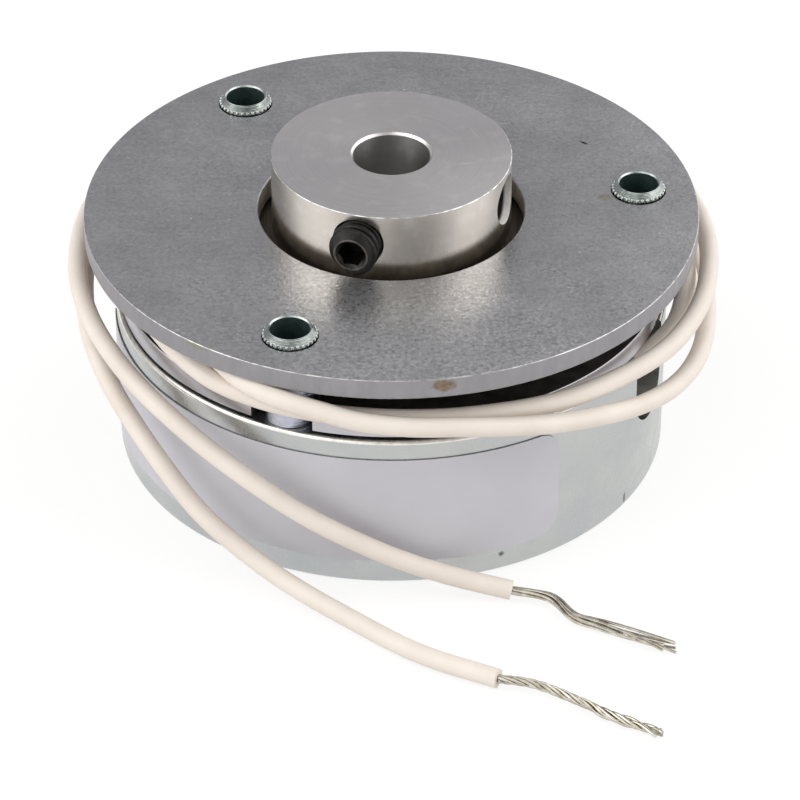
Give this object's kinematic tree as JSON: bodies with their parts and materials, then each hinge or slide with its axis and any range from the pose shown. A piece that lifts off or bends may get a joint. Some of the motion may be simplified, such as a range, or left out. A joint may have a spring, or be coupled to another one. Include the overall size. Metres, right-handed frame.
{
  "type": "electromagnetic brake",
  "caption": "Spring-set, power-off electromagnetic disc brake with a flat round magnet body, a pressure plate on hollow standoffs, a bored hub with set screws and two wrapped wire leads.",
  "frame": {"origin": "on the shaft axis, in the flat back face of the magnet body that the brake stands on", "axes": "+Z along the shaft axis, from the back face towards the hub's free end; -Y towards the side where the two leads end"},
  "size_m": [0.054, 0.0699, 0.0268],
  "materials": {
    "magnet_body": "zinc plated, turned, lightly stained",
    "pressure_plate": "zinc plated sheet, dull, fine scratches",
    "armature_plate": "plated, ground face",
    "standoff": "turned, knurled collar",
    "brake_spring": "drawn spring wire",
    "hub": "turned, satin",
    "set_screw": "black oxide",
    "disc_carrier": "stamped, satin",
    "friction_lining": "pressed friction composite",
    "coil_bobbin": "natural nylon",
    "coil_winding": "enamelled copper wire",
    "coil_tape": "dark insulating tape",
    "rating_label": "silver film, bare",
    "lead": "cream insulation, satin",
    "conductor": "tinned copper strands"
  },
  "bodies": {
    "magnet_assembly": {"magnet_body": "magnet_body", "coil_bobbin": "coil_bobbin", "coil_winding": "coil_winding", "coil_tape": "coil_tape", "brake_spring_1": "brake_spring", "brake_spring_2": "brake_spring", "brake_spring_3": "brake_spring", "standoff_1": "standoff", "standoff_2": "standoff", "standoff_3": "standoff", "pressure_plate": "pressure_plate", "rating_label": "rating_label", "lead_a": "lead", "lead_b": "lead", "conductor_a": "conductor", "conductor_b": "conductor"},
    "armature": {"armature_plate": "armature_plate"},
    "shaft_hub": {"hub": "hub"},
    "friction_disc": {"disc_carrier": "disc_carrier", "friction_lining_lower": "friction_lining", "friction_lining_upper": "friction_lining"},
    "front_screw": {"set_screw_front": "set_screw"},
    "side_screw": {"set_screw_side": "set_screw"}
  },
  "joints": [
    {"name": "hub_spin", "type": "hinge", "parent": "magnet_assembly", "child": "shaft_hub", "pos_m": [0, 0, 0.0214], "axis": [0, 0, 1], "continuous": true},
    {"name": "armature_release", "type": "slide", "parent": "magnet_assembly", "child": "armature", "axis": [0, 0, -1], "range_m": [0, 0.0002], "stiffness_N_per_m": 29000, "springref_m": -0.0011, "deforming": ["brake_spring_1", "brake_spring_2", "brake_spring_3"]},
    {"name": "disc_float", "type": "slide", "parent": "shaft_hub", "child": "friction_disc", "axis": [0, 0, -1], "range_m": [0, 0.0001]},
    {"name": "set_screw_front_travel", "type": "slide", "parent": "shaft_hub", "child": "front_screw", "axis": [0.2756, 0.9613, 0], "range_m": [-0.001, 0.0039]},
    {"name": "set_screw_side_travel", "type": "slide", "parent": "shaft_hub", "child": "side_screw", "axis": [-0.9563, 0.2924, 0], "range_m": [-0.002, 0.0008]}
  ],
  "couplings": [
    {"joint": "disc_float", "follows": "armature_release", "ratio": 0.5}
  ]
}
